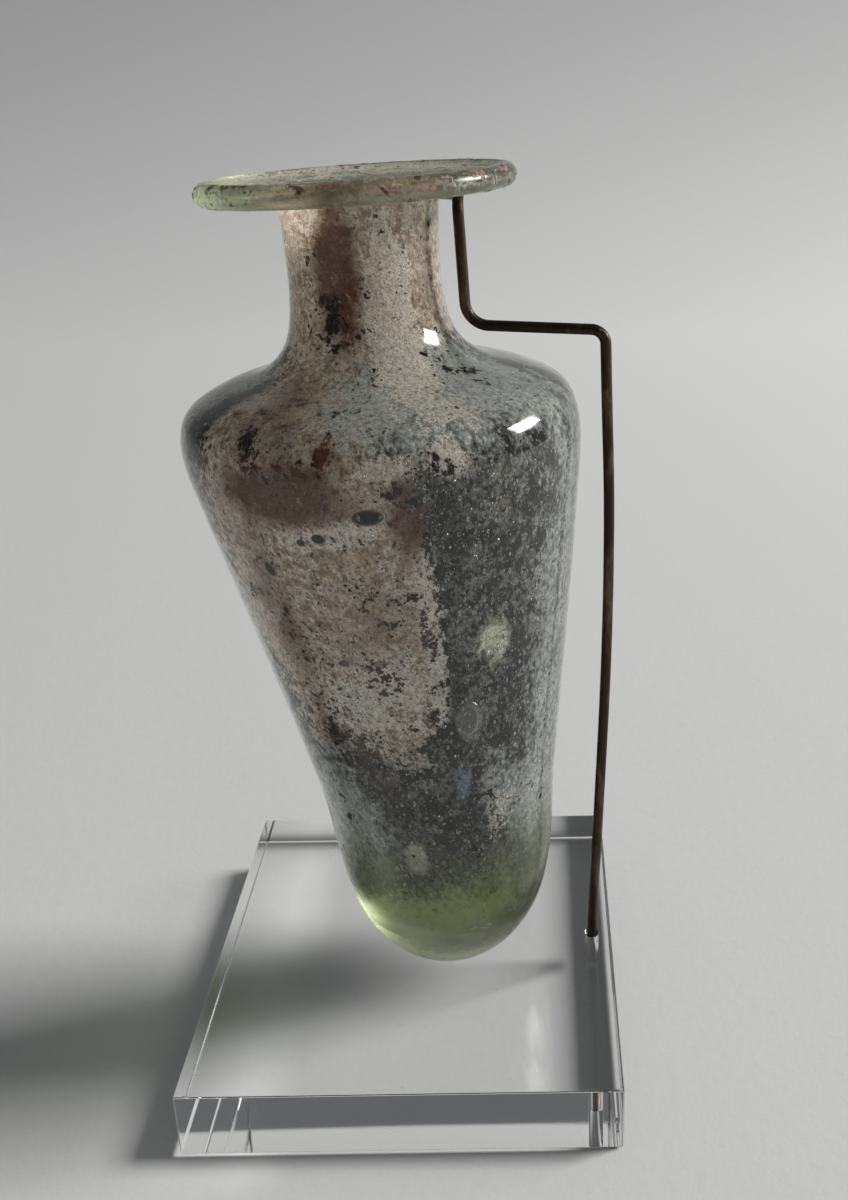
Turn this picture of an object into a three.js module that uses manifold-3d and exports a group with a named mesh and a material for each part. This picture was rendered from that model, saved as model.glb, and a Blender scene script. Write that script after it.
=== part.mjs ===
// A Roman free-blown glass unguentarium, standing on a clear block and steadied by a bent rod.
// Millimetres, +Z up. The origin is the centre of the block's underside, +X is the rod's side and
// +Y is the back. The flask is spun as a profile of radius and height, then leant as it was blown.
import * as THREE from "three";
import { mergeVertices } from "three/addons/utils/BufferGeometryUtils.js";
import Module from "manifold-3d";

const wasm = await Module();
wasm.setup();

// Driving dimensions

const GAP = 0.3; // between pieces that touch

const BLOCK_SIDE = 60;
const BLOCK_THICKNESS = 10;

const ROD_RADIUS = 0.8;
const ROD_SIDES = 10;
const ROD_FOOT = new THREE.Vector3(27, 0, 3.6); // lower end, inside the drilled hole
const STEM_BOW = [
  new THREE.Vector3(27.05, 0, 10.5),
  new THREE.Vector3(27.85, 0, 28),
  new THREE.Vector3(29.15, 0, 60),
  new THREE.Vector3(29.4, 0, 82),
  new THREE.Vector3(29.05, 0, 97),
];
const STEM_TOP = new THREE.Vector3(28.85, 0, 106.1);
const STEM_STEPS = 15;
const CORNER_RADIUS = 1.9;
const ELBOW = { x: 10.6, z: 106.3, radius: 3.2 };
const HOOK_TURN_RADIUS = 2;
const BEND_STEPS = 7;

const HOLE_RADIUS = ROD_RADIUS + GAP;
const HOLE_DEPTH = 7;
const HOLE_SIDES = 16;
const DRILL_START = 1; // above the top face

const WALL = 1.5;
const NECK_WALL = 1.8;
const BASE_WALL = 3.4;
const BASE_WALL_HEIGHT = 14; // above this the wall is at its normal thickness
const NECK_HEIGHT = 90; // above this it thickens towards the rim

const RIM_RADIUS = 20.8;
const RIM_THICKNESS = 3.1;
const RIM_HEIGHT = 114.4; // middle of the rim's edge, above the flask's tip
const RIM_DISH = 0.7; // how far the rim's top dips inside its thick edge
const RIM_DISH_WIDTH = 2; // over this width
const RIM_SLOPE = 0.2; // how much lower the dished top is half way to the mouth
const MOUTH_DROP = 0.9; // and at the mouth
const RIM_FILLET = 0.5; // where the neck meets the rim's underside
const RIM_STEPS = 3;
const MOUTH_RADIUS = 9.7;

// How the flask stands: its axis leans to the left and back, and each level tilts with it.
const AXIS_OFFSETS = [
  [0, 5.4],
  [12, 5.3],
  [28, 4.35],
  [50, 2.3],
  [74, -0.3],
  [88, -1.9],
  [100, -2.6],
  [118, -3.15],
];
const LEAN_BACK = 0.05;
const TILT_LEFT = 0.048;
const TILT_BACK = 0.05;
const ROUND_BASE_HEIGHT = 20; // the levels tilt fully only above the rounded base

const HOOK_RADIUS = 12.3;
const HOOK_HEIGHT = RIM_HEIGHT - RIM_THICKNESS / 2 - ROD_RADIUS - GAP;
const HOOK_SLACK = new THREE.Vector2(0.63, -0.3); // the neck leans on the hook's far side
const HOOK_END = THREE.MathUtils.degToRad(156);
const HOOK_STEPS = 18;

const TURN_SEGMENTS = 48;
const STEPS_A_STATION = 2; // of the outer wall

// The outer wall from the tip to under the rim, as [radius, height].
const OUTER_WALL = [
  [0, 0],
  [3.6, 0.25],
  [7.0, 1.2],
  [10.7, 4.2],
  [13.8, 9.2],
  [15.7, 16.7],
  [17.0, 27.7],
  [19.1, 39.7],
  [21.45, 51.7],
  [23.8, 63.7],
  [25.7, 73.7],
  [26.7, 79.7],
  [26.6, 83.7],
  [25.1, 86.7],
  [20.8, 88.9],
  [16.0, 90.3],
  [13.6, 91.7],
  [12.1, 93.2],
  [11.05, 95.1],
  [10.4, 97.6],
  [10.05, 101.2],
  [10.05, 105.2],
  [10.2, 108.7],
  [10.4, 112.2],
].map(([radius, height]) => new THREE.Vector2(radius, height));

// A smooth value through [position, value] stations, for a position between the first and last.
function through(stations, position) {
  const positions = stations.map(([at]) => at);
  const values = stations.map(([, value]) => value);
  return new THREE.CubicInterpolant(positions, values, 1).evaluate(position)[0];
}

// Moves a point of the upright flask to where it is on the leaning one.
function lean({ x, y, z }) {
  const tilted = THREE.MathUtils.smoothstep(z, 0, ROUND_BASE_HEIGHT);
  return new THREE.Vector3(
    x + through(AXIS_OFFSETS, z),
    y + LEAN_BACK * z,
    BLOCK_THICKNESS + GAP + z + tilted * (TILT_LEFT * x - TILT_BACK * y),
  );
}

function wallThickness(height) {
  const { smoothstep, lerp } = THREE.MathUtils;
  const body = lerp(BASE_WALL, WALL, smoothstep(height, 0, BASE_WALL_HEIGHT));
  return lerp(body, NECK_WALL, smoothstep(height, NECK_HEIGHT, RIM_HEIGHT));
}

// The inside of the wall: the outer curve moved inwards by the wall's thickness.
function innerWall(outer, steps) {
  const points = [];
  for (let step = 0; step <= steps; step++) {
    const on = outer.getPoint(step / steps);
    const along = outer.getTangent(step / steps);
    const inwards = new THREE.Vector2(-along.y, along.x);
    points.push(on.addScaledVector(inwards, wallThickness(on.y)));
  }
  points[0].x = 0; // exactly on the axis
  return points;
}

// The rim: a flat disc under, a thick rounded edge, a dished top and a soft mouth.
function rimProfile(neck) {
  const half = RIM_THICKNESS / 2;
  const edge = RIM_RADIUS - half;
  const top = RIM_HEIGHT + half;
  const rim = new THREE.Path();
  rim.moveTo(neck.x + RIM_FILLET, RIM_HEIGHT - half);
  rim.lineTo(edge, RIM_HEIGHT - half);
  rim.absarc(edge, RIM_HEIGHT, half, -Math.PI / 2, Math.PI / 2, false);
  rim.splineThru([
    new THREE.Vector2(edge - RIM_DISH_WIDTH, top - RIM_DISH),
    new THREE.Vector2((edge + MOUTH_RADIUS) / 2, top - RIM_DISH - RIM_SLOPE),
    new THREE.Vector2(MOUTH_RADIUS, top - RIM_DISH - MOUTH_DROP),
  ]);
  return rim.getPoints(RIM_STEPS);
}

function flaskGeometry() {
  const outer = new THREE.SplineCurve(OUTER_WALL);
  const stations = OUTER_WALL.length - 1;
  const outside = outer.getPoints(stations * STEPS_A_STATION);
  const rim = rimProfile(OUTER_WALL.at(-1));
  const inside = innerWall(outer, stations).reverse();
  const profile = [...outside, ...rim, ...inside];
  const spun = new THREE.LatheGeometry(profile, TURN_SEGMENTS);
  spun.rotateX(Math.PI / 2);
  const place = spun.getAttribute("position");
  for (let i = 0; i < place.count; i++) {
    const leant = lean(new THREE.Vector3().fromBufferAttribute(place, i));
    place.setXYZ(i, leant.x, leant.y, leant.z);
  }
  spun.computeVertexNormals();
  return spun;
}

// A length of wire: a section at each of its points, which lie closer together in the bends.
class Wire extends THREE.Curve {
  constructor(points) {
    super();
    this.points = points;
  }

  getPoint(t, target = new THREE.Vector3()) {
    const span = t * (this.points.length - 1);
    const first = Math.min(Math.floor(span), this.points.length - 2);
    return target.lerpVectors(this.points[first], this.points[first + 1], span - first);
  }

  getUtoTmapping(u) {
    return u;
  }
}

// The arc that rounds a corner between the runs towards `before` and `after`.
function bend(before, corner, after, radius) {
  const back = before.clone().sub(corner).normalize();
  const on = after.clone().sub(corner).normalize();
  const half = back.angleTo(on) / 2;
  const centre = back.clone().add(on).setLength(radius / Math.sin(half)).add(corner);
  const reach = radius / Math.tan(half);
  const start = back.clone().multiplyScalar(reach).add(corner).sub(centre);
  const end = on.clone().multiplyScalar(reach).add(corner).sub(centre);
  const axis = start.clone().cross(end).normalize();
  const sweep = start.angleTo(end);
  return Array.from({ length: BEND_STEPS + 1 }, (_, step) =>
    start.clone().applyAxisAngle(axis, (sweep * step) / BEND_STEPS).add(centre),
  );
}

// The hook lies level with the rim, just under it, round the back of the neck.
function hookPoint(angle) {
  const x = HOOK_SLACK.x + HOOK_RADIUS * Math.cos(angle);
  const y = HOOK_SLACK.y + HOOK_RADIUS * Math.sin(angle);
  return lean(new THREE.Vector3(x, y, HOOK_HEIGHT));
}

function rodRoute() {
  const stem = new THREE.CatmullRomCurve3([ROD_FOOT, ...STEM_BOW, STEM_TOP]);
  const hook = Array.from({ length: HOOK_STEPS + 1 }, (_, step) =>
    hookPoint((HOOK_END * step) / HOOK_STEPS),
  );
  const start = hook[0];
  const turn = new THREE.Vector3(start.x, start.y - HOOK_TURN_RADIUS, start.z);
  const elbow = new THREE.Vector3(ELBOW.x, turn.y, ELBOW.z);
  return [
    ...stem.getPoints(STEM_STEPS).slice(0, -1),
    ...bend(STEM_BOW.at(-1), STEM_TOP, elbow, CORNER_RADIUS),
    ...bend(STEM_TOP, elbow, turn, ELBOW.radius),
    ...bend(elbow, turn, start, HOOK_TURN_RADIUS),
    ...hook.slice(1),
  ];
}

function rodGeometry() {
  const section = new THREE.Shape();
  section.absarc(0, 0, ROD_RADIUS, 0, 2 * Math.PI, false);
  const route = rodRoute();
  return new THREE.ExtrudeGeometry(section, {
    extrudePath: new Wire(route),
    steps: route.length - 1,
    curveSegments: ROD_SIDES / 2,
    bevelEnabled: false,
  });
}

// Joins and cuts are made on closed solids whose shared vertices are merged.
function solidOf(geometry) {
  const bare = geometry.clone();
  bare.deleteAttribute("normal");
  bare.deleteAttribute("uv");
  const merged = mergeVertices(bare, 1e-4);
  return new wasm.Manifold(
    new wasm.Mesh({
      numProp: 3,
      vertProperties: merged.getAttribute("position").array,
      triVerts: new Uint32Array(merged.index.array),
    }),
  );
}

function geometryOf(solid) {
  const { vertProperties, triVerts } = solid.getMesh();
  const geometry = new THREE.BufferGeometry();
  geometry.setAttribute("position", new THREE.BufferAttribute(vertProperties, 3));
  geometry.setIndex(new THREE.BufferAttribute(triVerts, 1));
  geometry.computeVertexNormals();
  return geometry;
}

// The block, with the blind hole that holds the rod's foot.
function blockGeometry() {
  const slab = new THREE.BoxGeometry(BLOCK_SIDE, BLOCK_SIDE, BLOCK_THICKNESS);
  slab.translate(0, 0, BLOCK_THICKNESS / 2);
  const length = HOLE_DEPTH + DRILL_START;
  const drill = new THREE.CylinderGeometry(HOLE_RADIUS, HOLE_RADIUS, length, HOLE_SIDES);
  drill.rotateX(Math.PI / 2);
  drill.translate(ROD_FOOT.x, ROD_FOOT.y, BLOCK_THICKNESS - HOLE_DEPTH + length / 2);
  return geometryOf(solidOf(slab).subtract(solidOf(drill)));
}

const weatheredGlass = new THREE.MeshStandardMaterial({
  color: 0x8f8478,
  roughness: 0.35,
  metalness: 0,
});
const darkBronze = new THREE.MeshStandardMaterial({
  color: 0x3b2a1f,
  roughness: 0.4,
  metalness: 0.9,
});
const clearAcrylic = new THREE.MeshStandardMaterial({
  color: 0xe6e8e8,
  roughness: 0.05,
  metalness: 0,
  transparent: true,
  opacity: 0.3,
});

const flask = new THREE.Mesh(flaskGeometry(), weatheredGlass);
flask.name = "flask";
const rod = new THREE.Mesh(rodGeometry(), darkBronze);
rod.name = "rod";
const block = new THREE.Mesh(blockGeometry(), clearAcrylic);
block.name = "block";

const unguentarium = new THREE.Group();
unguentarium.add(block, rod, flask);

export default unguentarium;
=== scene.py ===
"""A Roman free-blown glass unguentarium on a clear acrylic block, steadied by a bent bronze rod.

Laid out as an add-on: each piece has its own operator, and its sizes and colours are properties.
"""

import math
import random

import bmesh
import bpy
from bpy.props import FloatProperty, FloatVectorProperty, IntProperty, PointerProperty
from mathutils import Matrix, Vector


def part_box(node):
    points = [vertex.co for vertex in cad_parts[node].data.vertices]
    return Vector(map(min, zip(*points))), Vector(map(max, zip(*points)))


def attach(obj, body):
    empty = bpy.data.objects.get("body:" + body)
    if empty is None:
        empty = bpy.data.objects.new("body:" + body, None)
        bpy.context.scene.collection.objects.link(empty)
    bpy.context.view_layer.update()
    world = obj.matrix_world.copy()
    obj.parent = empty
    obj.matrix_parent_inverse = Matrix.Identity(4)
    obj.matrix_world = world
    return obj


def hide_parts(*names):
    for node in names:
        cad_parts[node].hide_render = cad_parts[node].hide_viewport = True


bl_info = {
    "name": "Roman Glass Unguentarium",
    "version": (1, 0, 0),
    "blender": (4, 5, 0),
    "location": "View3D > Sidebar > Unguentarium",
    "description": "Builds a weathered blown-glass flask, its bronze rod and its acrylic block",
    "category": "Object",
}

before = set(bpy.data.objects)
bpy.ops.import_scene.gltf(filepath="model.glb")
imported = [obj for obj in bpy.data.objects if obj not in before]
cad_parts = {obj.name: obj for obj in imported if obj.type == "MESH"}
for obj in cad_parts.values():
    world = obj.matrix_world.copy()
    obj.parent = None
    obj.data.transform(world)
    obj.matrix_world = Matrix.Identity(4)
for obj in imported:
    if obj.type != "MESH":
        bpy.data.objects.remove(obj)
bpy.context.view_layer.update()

MM = 0.001
BODY = "root"

# ---------------------------------------------------------------- the flask's own form, in mm

GAP = 0.3
BLOCK_TOP = 10.0
ROUND_BASE_HEIGHT = 20.0
AXIS_OFFSETS = (
    (0, 5.4), (12, 5.3), (28, 4.35), (50, 2.3), (74, -0.3), (88, -1.9), (100, -2.6), (118, -3.15),
)
LEAN_BACK = 0.05
TILT_LEFT = 0.048
TILT_BACK = 0.05
LEVEL_SHIFT = 0.42  # the tilts take this much off the height at the rim

# The outer wall from the tip to under the rim, as (radius, height).
OUTER_WALL = (
    (0, 0), (3.6, 0.25), (7.0, 1.2), (10.7, 4.2), (13.8, 9.2), (15.7, 16.7), (17.0, 27.7),
    (19.1, 39.7), (21.45, 51.7), (23.8, 63.7), (25.7, 73.7), (26.7, 79.7), (26.6, 83.7),
    (25.1, 86.7), (20.8, 88.9), (16.0, 90.3), (13.6, 91.7), (12.1, 93.2), (11.05, 95.1),
    (10.4, 97.6), (10.05, 101.2), (10.05, 105.2), (10.2, 108.7), (10.4, 112.2),
)
RIM_HEIGHT = 114.4
RIM_FILLET = 0.5
RIM_DISH = 0.7
RIM_DISH_WIDTH = 2.0
RIM_SLOPE = 0.2
MOUTH_RADIUS = 9.7
MOUTH_DROP = 0.9
BASE_WALL_HEIGHT = 14.0
NECK_HEIGHT = 90.0
STEPS_A_STATION = 5
INSIDE_FACETS = 0.9995  # keeps the round wall just inside the solid's flat facets
RIM_ARC_STEPS = 14


def smoothstep(value, low, high):
    """0 below low, 1 above high, and a smooth rise between."""
    share = min(max((value - low) / (high - low), 0.0), 1.0)
    return share * share * (3.0 - 2.0 * share)


def mix(start, end, share):
    """The value that share of the way from start to end."""
    return start + (end - start) * share


def through(stations, place):
    """A smooth value through (place, value) stations."""
    last = len(stations) - 1
    upper = next((i for i in range(1, last) if place < stations[i][0]), last)
    (start, first), (end, second) = stations[upper - 1], stations[upper]
    step = end - start

    def secant(index):
        (here, value), (there, other) = stations[index - 1], stations[index]
        return (other - value) / (there - here)

    middle = secant(upper)
    rise = (secant(upper - 1) + middle) / 2 if upper > 1 else middle
    fall = (secant(upper + 1) + middle) / 2 if upper < last else middle
    share = (place - start) / step
    square, cube = share ** 2, share ** 3
    return (
        (2 * cube - 3 * square + 1) * first
        + (cube - 2 * square + share) * step * rise
        + (3 * square - 2 * cube) * second
        + (cube - square) * step * fall
    )


def spline(points, share):
    """A point of a smooth curve through points, share 0 to 1 from the first to the last."""
    span = share * (len(points) - 1)
    index = min(int(span), len(points) - 2)
    part = span - index
    near = [Vector(points[min(max(index + i, 0), len(points) - 1)]) for i in (-1, 0, 1, 2)]
    rise = (near[2] - near[0]) / 2
    fall = (near[3] - near[1]) / 2
    square, cube = part ** 2, part ** 3
    return (
        near[1] * (2 * cube - 3 * square + 1)
        + rise * (cube - 2 * square + part)
        + near[2] * (3 * square - 2 * cube)
        + fall * (cube - square)
    )


def outer_curve():
    """Points of the outer wall from the tip to under the rim."""
    steps = (len(OUTER_WALL) - 1) * STEPS_A_STATION
    points = [spline(OUTER_WALL, step / steps) for step in range(steps + 1)]
    return [Vector((point.x * INSIDE_FACETS, point.y)) for point in points]


OUTER_CURVE = outer_curve()


def wall_thickness(height, settings):
    """How thick the glass is at a height above the tip."""
    body = mix(settings.base_wall, settings.wall, smoothstep(height, 0, BASE_WALL_HEIGHT))
    return mix(body, settings.neck_wall, smoothstep(height, NECK_HEIGHT, RIM_HEIGHT)) / MM


def moved_in(curve, distance):
    """The curve moved towards the axis by distance(height), at right angles to itself."""
    moved = []
    for index, point in enumerate(curve):
        before = curve[max(index - 1, 0)]
        after = curve[min(index + 1, len(curve) - 1)]
        along = (after - before).normalized()
        moved.append(point + Vector((-along.y, along.x)) * distance(point.y))
    moved[0].x = 0.0
    return moved


def wall_radius(height):
    """The outer radius at a height."""
    for low, high in zip(OUTER_CURVE, OUTER_CURVE[1:]):
        if low.y <= height <= high.y:
            return mix(low.x, high.x, (height - low.y) / max(high.y - low.y, 1e-6))
    return OUTER_CURVE[-1].x


def lean(point):
    """Moves a point of the upright flask to where it is on the leaning one."""
    x, y, z = point
    tilted = smoothstep(z, 0, ROUND_BASE_HEIGHT)
    return Vector((
        x + through(AXIS_OFFSETS, z),
        y + LEAN_BACK * z,
        BLOCK_TOP + GAP + z + tilted * (TILT_LEFT * x - TILT_BACK * y),
    ))


def around(radius, angle, height):
    """A point of the leaning flask, from a radius, an angle in degrees and a height."""
    turn = math.radians(angle)
    return lean((radius * math.cos(turn), radius * math.sin(turn), height))


def on_wall(angle, height, depth):
    """A frame on the outer wall: columns around, up and out, at depth under the surface."""
    here = around(wall_radius(height), angle, height)
    round_it = (around(wall_radius(height), angle + 1, height) - here).normalized()
    upwards = (around(wall_radius(height + 0.3), angle, height + 0.3) - here).normalized()
    out = round_it.cross(upwards).normalized()
    upwards = out.cross(round_it)
    place = Matrix((round_it, upwards, out)).transposed().to_4x4()
    place.translation = here - out * depth
    return place


# ---------------------------------------------------------------- meshes

def spun(profile, steps, closed):
    """A bmesh of the profile spun round the axis, in mm, with its poles and seam closed."""
    shape = bmesh.new()
    corners = [shape.verts.new((radius, 0.0, height)) for radius, height in profile]
    sides = [shape.edges.new(pair) for pair in zip(corners, corners[1:])]
    bmesh.ops.spin(
        shape, geom=corners + sides, cent=(0, 0, 0), axis=(0, 0, 1), dvec=(0, 0, 0),
        angle=math.tau, steps=steps, use_merge=True, use_duplicate=False,
    )
    bmesh.ops.remove_doubles(shape, verts=shape.verts, dist=1e-4)
    bmesh.ops.dissolve_degenerate(shape, dist=1e-5, edges=shape.edges)
    if closed:
        bmesh.ops.recalc_face_normals(shape, faces=shape.faces)
    return shape


def finished(shape, name, material, smooth=True):
    """The object made of a bmesh in mm, at the origin, riding on the part."""
    bmesh.ops.scale(shape, vec=(MM, MM, MM), verts=shape.verts)
    mesh = bpy.data.meshes.new(name)
    shape.to_mesh(mesh)
    shape.free()
    if smooth:
        mesh.shade_smooth()
    mesh.materials.append(material)
    piece = bpy.data.objects.new(name, mesh)
    bpy.context.scene.collection.objects.link(piece)
    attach(piece, BODY)
    return piece


# ---------------------------------------------------------------- shader building

def add(tree, kind, sockets=None, **settings):
    """Adds a node; a socket given another node's output is linked, and others are set."""
    made = tree.nodes.new("ShaderNode" + kind)
    for name, value in settings.items():
        setattr(made, name, value)
    for name, value in (sockets or {}).items():
        if isinstance(value, bpy.types.NodeSocket):
            tree.links.new(value, made.inputs[name])
        else:
            made.inputs[name].default_value = value
    return made


def maths(tree, operation, first, second=0.5, clamp=False):
    """One step of arithmetic."""
    made = add(tree, "Math", {0: first, 1: second}, operation=operation, use_clamp=clamp)
    return made.outputs[0]


def ramp(tree, value, low, high, start=0.0, end=1.0):
    """Maps low..high to start..end with a smooth step."""
    made = add(
        tree, "MapRange",
        {"Value": value, "From Min": low, "From Max": high, "To Min": start, "To Max": end},
        interpolation_type="SMOOTHSTEP",
    )
    return made.outputs["Result"]


def ramp_straight(tree, value, low, high, start=0.0, end=1.0):
    """Maps low..high to start..end in a straight line, and holds outside."""
    made = add(tree, "MapRange", {
        "Value": value, "From Min": low, "From Max": high, "To Min": start, "To Max": end,
    })
    return made.outputs["Result"]


def tint(tree, share, first, second, way="MIX"):
    """Mixes two colours."""
    made = add(tree, "Mix", {0: share, 6: first, 7: second}, data_type="RGBA", blend_type=way)
    return made.outputs[2]


def rgb(values):
    """A colour with its alpha."""
    return (*values, 1.0)


def in_mm(tree, stretch=(1, 1, 1), slant=0.0):
    """Object coordinates in millimetres, stretched along an axis where its factor is below 1."""
    place = add(tree, "TexCoord").outputs["Object"]
    if slant:
        turn = (0.0, math.radians(slant), 0.0)
        place = add(tree, "Mapping", {"Vector": place, "Rotation": turn}).outputs["Vector"]
    scale = tuple(factor / MM for factor in stretch)
    return add(tree, "Mapping", {"Vector": place, "Scale": scale}).outputs["Vector"]


def level(tree, place):
    """The height above the flask's tip, in mm, square to its leaning axis."""
    across = add(tree, "VectorMath", {0: place, 1: (-TILT_LEFT, TILT_BACK, 1.0)},
                 operation="DOT_PRODUCT").outputs["Value"]
    return maths(tree, "SUBTRACT", across, BLOCK_TOP + GAP + LEVEL_SHIFT)


def new_group(name, inputs, outputs):
    """An empty node group with those sockets, as {name: (socket type, default)}."""
    group = bpy.data.node_groups.new(name, "ShaderNodeTree")
    for socket, (kind, default) in inputs.items():
        made = group.interface.new_socket(socket, in_out="INPUT", socket_type=kind)
        if default is not None:
            made.default_value = default
    for socket, kind in outputs.items():
        group.interface.new_socket(socket, in_out="OUTPUT", socket_type=kind)
    return group, group.nodes.new("NodeGroupInput"), group.nodes.new("NodeGroupOutput")


def blotches_group():
    """Ragged patches of a given size, and how many of them."""
    group, given, made = new_group(
        "Blotches",
        {
            "Vector": ("NodeSocketVector", None),
            "Scale": ("NodeSocketFloat", 1.0),
            "Least": ("NodeSocketFloat", 0.5),
            "Most": ("NodeSocketFloat", 0.6),
            "Detail": ("NodeSocketFloat", 6.0),
            "Warp": ("NodeSocketFloat", 0.3),
        },
        {"Mask": "NodeSocketFloat"},
    )
    cloud = add(group, "TexNoise", {
        "Vector": given.outputs["Vector"], "Scale": given.outputs["Scale"],
        "Detail": given.outputs["Detail"], "Roughness": 0.62,
        "Distortion": given.outputs["Warp"],
    })
    mask = ramp(group, cloud.outputs["Fac"], given.outputs["Least"], given.outputs["Most"])
    group.links.new(mask, made.inputs["Mask"])
    return group


def specks_group():
    """Scattered small specks: a share of the cells of a pattern each hold one."""
    group, given, made = new_group(
        "Specks",
        {
            "Vector": ("NodeSocketVector", None),
            "Scale": ("NodeSocketFloat", 1.0),
            "Radius": ("NodeSocketFloat", 0.25),
            "Share": ("NodeSocketFloat", 0.3),
            "Ragged": ("NodeSocketFloat", 0.2),
        },
        {"Mask": "NodeSocketFloat", "Ring": "NodeSocketFloat"},
    )
    ragged = add(group, "TexNoise", {
        "Vector": given.outputs["Vector"],
        "Scale": maths(group, "MULTIPLY", given.outputs["Scale"], 2.3),
        "Detail": 3.0,
    })
    offset = add(group, "VectorMath", {
        0: ragged.outputs["Color"], 1: (0.5, 0.5, 0.5),
    }, operation="SUBTRACT")
    pushed = add(group, "VectorMath", {
        0: offset.outputs[0], "Scale": given.outputs["Ragged"],
    }, operation="SCALE")
    moved = add(group, "VectorMath", {
        0: given.outputs["Vector"], 1: pushed.outputs[0],
    }, operation="ADD")
    cells = add(group, "TexVoronoi", {
        "Vector": moved.outputs[0], "Scale": given.outputs["Scale"], "Randomness": 1.0,
    })
    parted = add(group, "SeparateColor", {"Color": cells.outputs["Color"]})
    chosen = maths(group, "LESS_THAN", parted.outputs["Red"], given.outputs["Share"])
    size = maths(group, "MULTIPLY", given.outputs["Radius"], ramp(
        group, parted.outputs["Green"], 0.0, 1.0, 0.35, 1.0))
    inner = maths(group, "MULTIPLY", size, 0.7)
    speck = ramp(group, cells.outputs["Distance"], size, inner)
    mask = maths(group, "MULTIPLY", speck, chosen)
    core = ramp(group, cells.outputs["Distance"], inner, maths(group, "MULTIPLY", size, 0.4))
    ring = maths(group, "MULTIPLY", mask, maths(group, "SUBTRACT", 1.0, core))
    group.links.new(mask, made.inputs["Mask"])
    group.links.new(ring, made.inputs["Ring"])
    return group


def use_group(tree, group, sockets, output="Mask"):
    """Places a shared group in a material and gives its output."""
    made = tree.nodes.new("ShaderNodeGroup")
    made.node_tree = group
    for name, value in sockets.items():
        if isinstance(value, bpy.types.NodeSocket):
            tree.links.new(value, made.inputs[name])
        else:
            made.inputs[name].default_value = value
    return made.outputs[output]


def new_material(name):
    """An empty material and its node tree."""
    material = bpy.data.materials.new(name)
    material.use_nodes = True
    material.node_tree.nodes.clear()
    return material, material.node_tree


def give_surface(tree, shader):
    """Ends the material with that shader."""
    end = tree.nodes.new("ShaderNodeOutputMaterial")
    tree.links.new(shader, end.inputs["Surface"])


def let_lamps_through(tree, glass, tint_colour):
    """Glass that bends what is seen through it and lets the lamps shine on what is inside."""
    clear = add(tree, "BsdfTransparent", {"Color": tint_colour})
    path = add(tree, "LightPath")
    lamp = maths(tree, "MAXIMUM", path.outputs["Is Shadow Ray"], path.outputs["Is Diffuse Ray"])
    mixed = add(tree, "MixShader", {0: lamp, 1: glass, 2: clear.outputs[0]})
    give_surface(tree, mixed.outputs[0])


def flask_glass(settings):
    """Pale green blown glass: yellower where it is thick, with fine pits and blowing lines."""
    material, tree = new_material("flask_glass")
    place = in_mm(tree)
    height = level(tree, place)
    base = ramp(tree, height, 30.0, 14.0)
    rim = ramp(tree, height, 112.6, 113.2)
    thick = maths(tree, "MAXIMUM", base, rim)
    colour = tint(tree, thick, rgb(settings.glass_colour), rgb(settings.thick_glass_colour))
    blotches = bpy.data.node_groups["Blotches"]
    specks = bpy.data.node_groups["Specks"]
    waves = add(tree, "TexNoise", {
        "Vector": in_mm(tree, (1, 1, 0.35)), "Scale": 0.3, "Detail": 3.0,
    }).outputs["Fac"]
    pits = use_group(tree, specks, {
        "Vector": place, "Scale": 1.1, "Radius": 0.22, "Share": 0.45, "Ragged": 0.15,
    })
    fine_pits = use_group(tree, specks, {
        "Vector": place, "Scale": 3.2, "Radius": 0.3, "Share": 0.3, "Ragged": 0.1,
    })
    pitted = maths(tree, "ADD", pits, maths(tree, "MULTIPLY", fine_pits, 0.4))
    relief = maths(tree, "SUBTRACT", maths(tree, "MULTIPLY", waves, 0.6), pitted)
    bump = add(tree, "Bump", {"Strength": 0.6, "Distance": 0.0001, "Height": relief})
    dull = use_group(tree, blotches, {
        "Vector": place, "Scale": 0.12, "Least": 0.4, "Most": 0.65, "Detail": 5.0,
    })
    clear_part = ramp(tree, dull, 0.0, 1.0, 0.07, 0.2)
    frosted = ramp(tree, thick, 0.0, 1.0, 0.0, 0.12)
    glass = add(tree, "BsdfPrincipled", {
        "Base Color": colour,
        "Roughness": maths(tree, "ADD", clear_part, frosted),
        "IOR": 1.5,
        "Transmission Weight": 1.0,
        "Normal": bump.outputs[0],
    })
    let_lamps_through(tree, glass.outputs[0], tint(
        tree, thick, rgb((0.98, 0.985, 0.975)), rgb((0.42, 0.46, 0.34))))
    return material


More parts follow.
